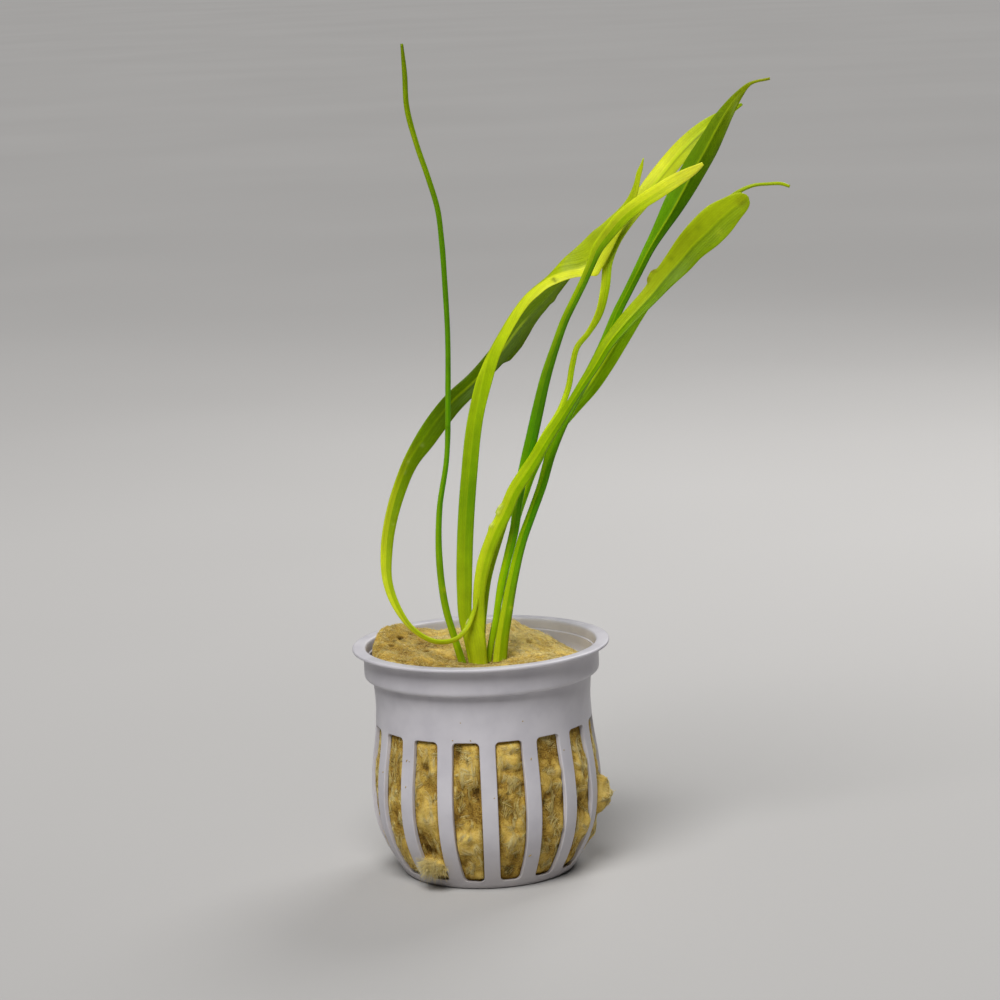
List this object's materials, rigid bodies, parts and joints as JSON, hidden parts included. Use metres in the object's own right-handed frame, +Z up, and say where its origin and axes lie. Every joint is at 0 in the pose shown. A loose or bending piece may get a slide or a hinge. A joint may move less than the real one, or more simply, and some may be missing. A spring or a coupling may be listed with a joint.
{
  "type": "potted sagittaria",
  "caption": "Young ribbon-leaved aquarium plant rooted in a plug of mineral wool inside a slotted round plastic pot that stands on its own flat foot.",
  "frame": {"origin": "middle of the pot's foot, on its underside", "axes": "+Z up along the pot's axis, +X towards the side that the leaves lean to, -Y towards the viewer of the picture"},
  "size_m": [0.0952, 0.054, 0.1739],
  "materials": {
    "pot_plastic": "satin",
    "mineral_wool": "matte",
    "leaf_sheath": "satin",
    "leaf": "satin"
  },
  "bodies": {
    "root": {"net_pot": "pot_plastic", "rock_wool": "mineral_wool", "crown": "leaf_sheath", "thread_leaf": "leaf", "looping_leaf": "leaf", "strap_leaf": "leaf", "wavy_leaf": "leaf", "tall_leaf": "leaf", "oval_leaf": "leaf", "front_leaf": "leaf", "back_leaf": "leaf"}
  },
  "joints": []
}
